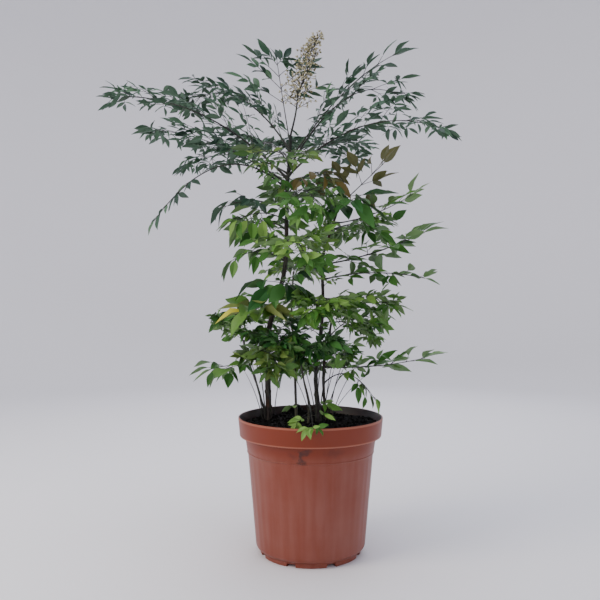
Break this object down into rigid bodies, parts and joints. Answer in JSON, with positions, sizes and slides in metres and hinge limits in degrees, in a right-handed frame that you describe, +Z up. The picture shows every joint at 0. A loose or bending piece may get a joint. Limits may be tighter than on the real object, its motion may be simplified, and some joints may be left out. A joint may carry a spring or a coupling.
{
  "type": "heavenly bamboo in a plastic pot",
  "caption": "Potted heavenly bamboo shrub: slender upright canes, tiers of compound leaves and an upright flower head, standing in a round plastic nursery pot.",
  "frame": {"origin": "centre of the pot's flat underside, on the surface the pot stands on", "axes": "+Z up along the canes, +Y to the back, +X to the right seen from the front"},
  "size_m": [0.6787, 0.4705, 1.0037],
  "materials": {
    "pot_plastic": "injection moulded polypropylene, satin",
    "compost": null,
    "cane_bark": "ridged grey-brown bark",
    "petiole": "smooth brown-green leaf stalk",
    "foliage_deep": "leathery leaflets, satin",
    "foliage_lime": "leathery leaflets, satin",
    "foliage_bronze": "leathery leaflets, satin",
    "foliage_mid": "leathery leaflets, satin",
    "foliage_fresh": "leathery leaflets, satin",
    "foliage_dark": "leathery leaflets, satin",
    "foliage_yellowing": "leathery leaflets, satin",
    "blossom": "cream buds and flowers on thin stalks"
  },
  "bodies": {
    "root": {"pot": "pot_plastic", "compost": "compost", "cane_tall": "cane_bark", "cane_middle": "cane_bark", "cane_right": "cane_bark", "shoot_left": "cane_bark", "shoot_front": "cane_bark", "shoot_back": "cane_bark", "bough_top_left_long": "petiole", "bough_top_right_front": "petiole", "bough_top_right_long": "petiole", "bough_top_right_rising": "petiole", "bough_top_left_high": "petiole", "bough_drooping": "petiole", "bough_right_middle": "petiole", "frond_top_left_long": "foliage_deep", "frond_top_right_front": "foliage_deep", "frond_top_right_long": "foliage_deep", "frond_top_right_rising": "foliage_deep", "frond_crown_leader": "foliage_deep", "frond_top_left_high": "foliage_deep", "frond_top_left_low": "foliage_deep", "frond_top_left_back": "foliage_deep", "frond_drooping": "foliage_deep", "frond_top_front": "foliage_lime", "frond_top_back_left": "foliage_deep", "frond_top_back_right": "foliage_deep", "frond_bronze": "foliage_bronze", "frond_big_leaf": "foliage_mid", "frond_upper_middle": "foliage_bronze", "frond_right_upper": "foliage_fresh", "frond_right_middle": "foliage_mid", "frond_right_long": "foliage_mid", "frond_right_inner": "foliage_fresh", "frond_right_cluster": "foliage_fresh", "frond_right_lowest": "foliage_mid", "frond_right_hanging": "foliage_fresh", "frond_pot_front": "foliage_fresh", "frond_front_dense_centre": "foliage_dark", "frond_left_upper_front": "foliage_fresh", "frond_left_upper_back": "foliage_deep", "frond_left_middle": "foliage_mid", "frond_yellowing": "foliage_yellowing", "frond_left_back": "foliage_mid", "frond_left_lowest": "foliage_mid", "frond_left_cluster": "foliage_fresh", "frond_front_dense_left": "foliage_dark", "frond_centre_dark": "foliage_mid", "frond_front_light": "foliage_fresh", "frond_front_dark": "foliage_dark", "frond_front_centre": "foliage_fresh", "frond_front_low": "foliage_lime", "frond_back_left_high": "foliage_mid", "frond_back_right_high": "foliage_mid", "frond_back_tip": "foliage_fresh", "frond_back_right_low": "foliage_mid", "frond_back_low": "foliage_mid", "frond_back_centre": "foliage_mid", "frond_back_lowest": "foliage_fresh", "flower_panicle": "blossom"}
  },
  "joints": []
}
